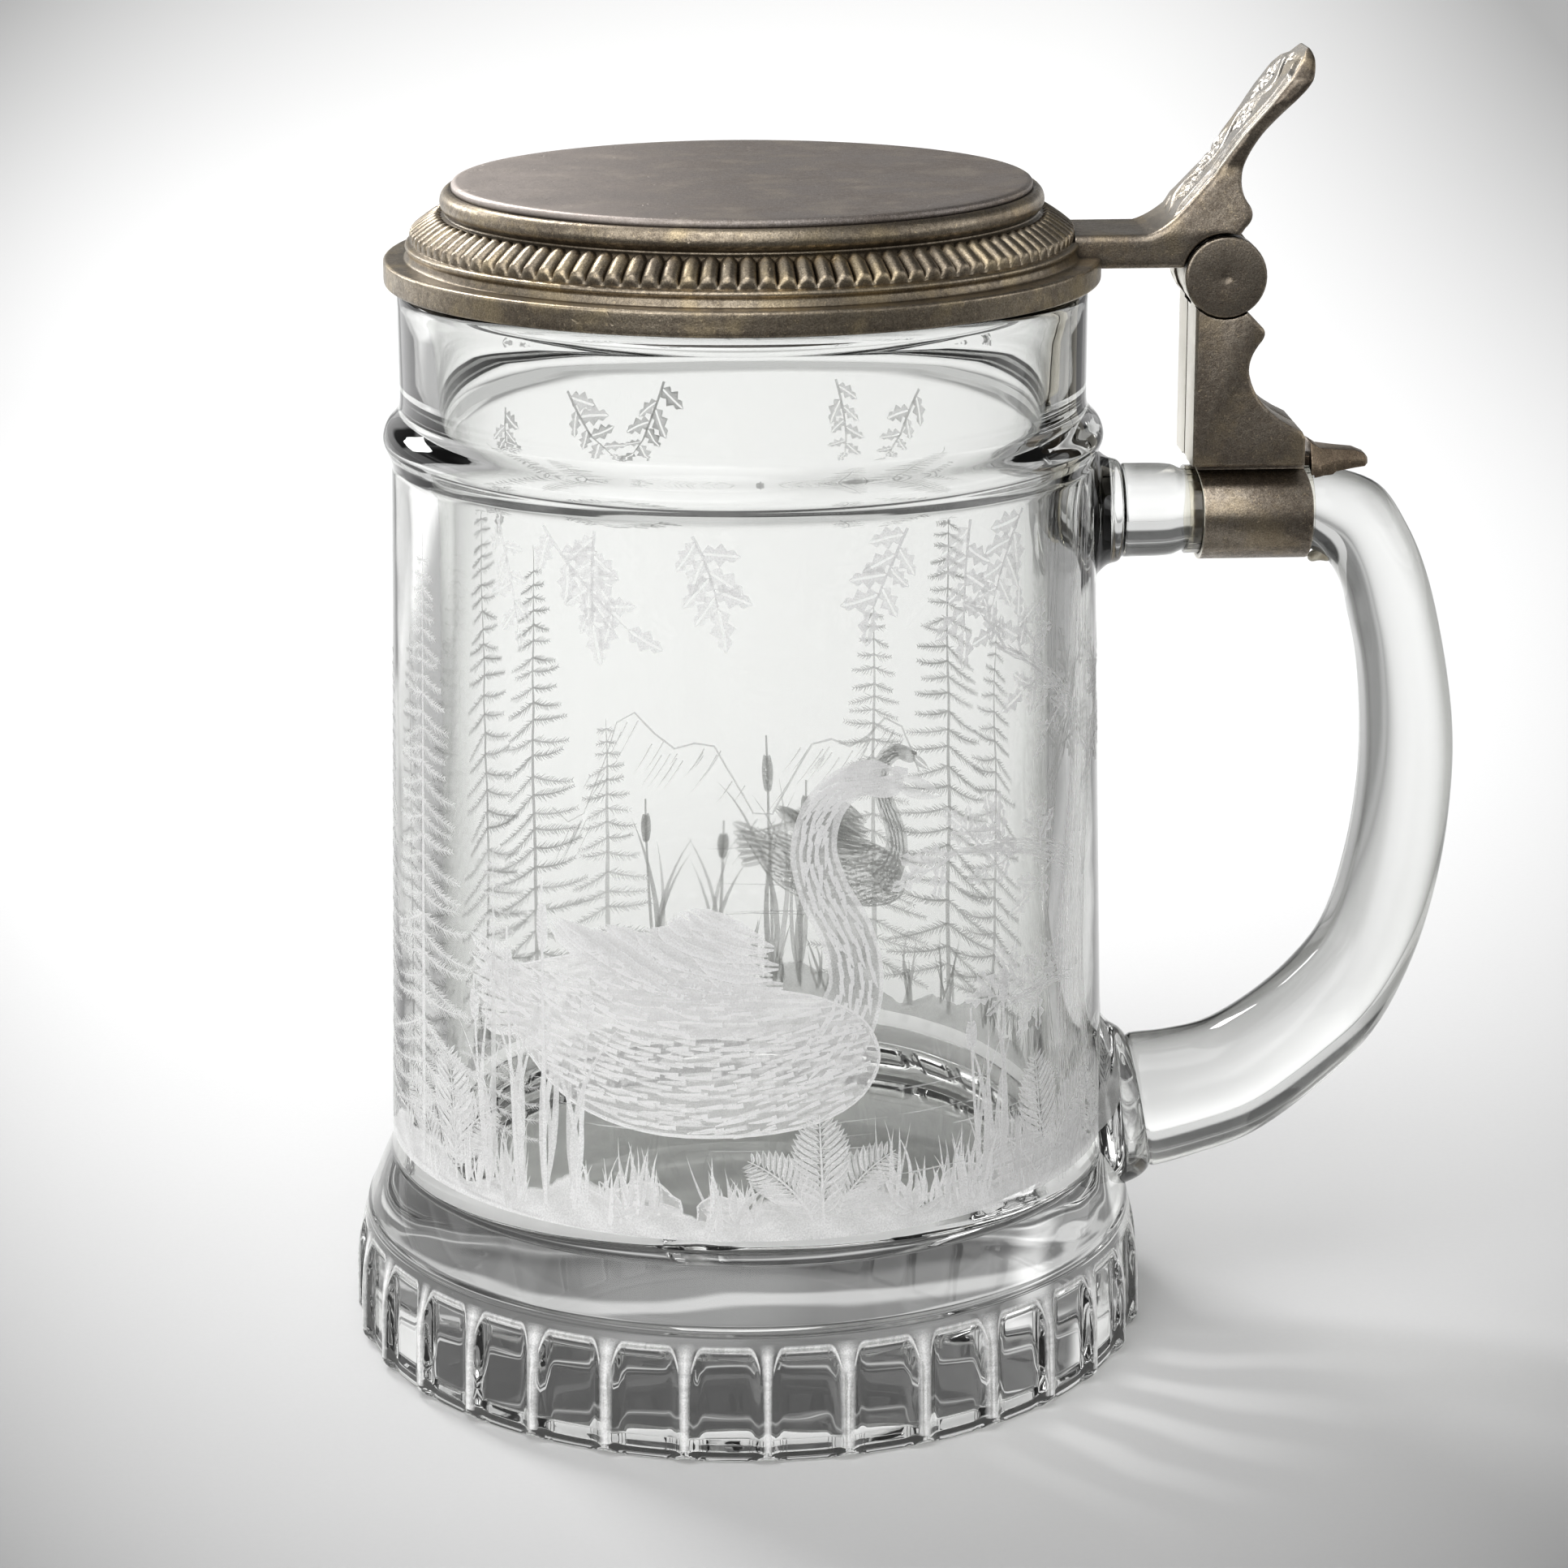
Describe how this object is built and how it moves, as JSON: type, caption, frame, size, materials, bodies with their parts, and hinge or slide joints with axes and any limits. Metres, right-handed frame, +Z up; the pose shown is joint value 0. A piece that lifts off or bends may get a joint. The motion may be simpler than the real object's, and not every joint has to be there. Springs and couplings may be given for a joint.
{
  "type": "lidded glass beer stein",
  "caption": "Clear glass beer stein with fluted foot, looped glass handle and a hinged metal lid with thumb lift, clamped to the handle's upper arm.",
  "frame": {"origin": "on the body's axis, in the plane of the table it stands on", "axes": "+Z up the body's axis, +X towards the handle, Y along the hinge pin; the picture looks at the -Y side"},
  "size_m": [0.1409, 0.1018, 0.1627],
  "materials": {
    "clear_glass": "clear and polished, with fired edges",
    "clear_sleeve": "clear sleeve, slightly yellowed",
    "dark_pewter": "cast pewter with a dark brown patina",
    "warm_pewter": "turned pewter, dark in the hollows and rubbed bright on the beads",
    "grey_pewter": "matt grey pewter with fine scratches and pits",
    "copper": "dull copper, rubbed on its edges",
    "steel_pin": "bright steel wire"
  },
  "bodies": {
    "mug": {"glass_body": "clear_glass", "glass_handle": "clear_glass", "band_liner": "clear_sleeve", "hinge_bracket_front": "dark_pewter", "hinge_bracket_back": "dark_pewter", "hinge_cap_front": "dark_pewter", "hinge_cap_back": "dark_pewter", "cheek_dowel": "dark_pewter", "hinge_pin": "steel_pin", "handle_spur": "copper"},
    "lid": {"lid_shell": "warm_pewter", "lid_top_disc": "grey_pewter", "thumb_lift": "dark_pewter"}
  },
  "joints": [
    {"name": "lid_hinge", "type": "hinge", "parent": "mug", "child": "lid", "pos_m": [0.0585, 0, 0.1355], "axis": [0, 1, 0], "range_deg": [0, 118]}
  ]
}
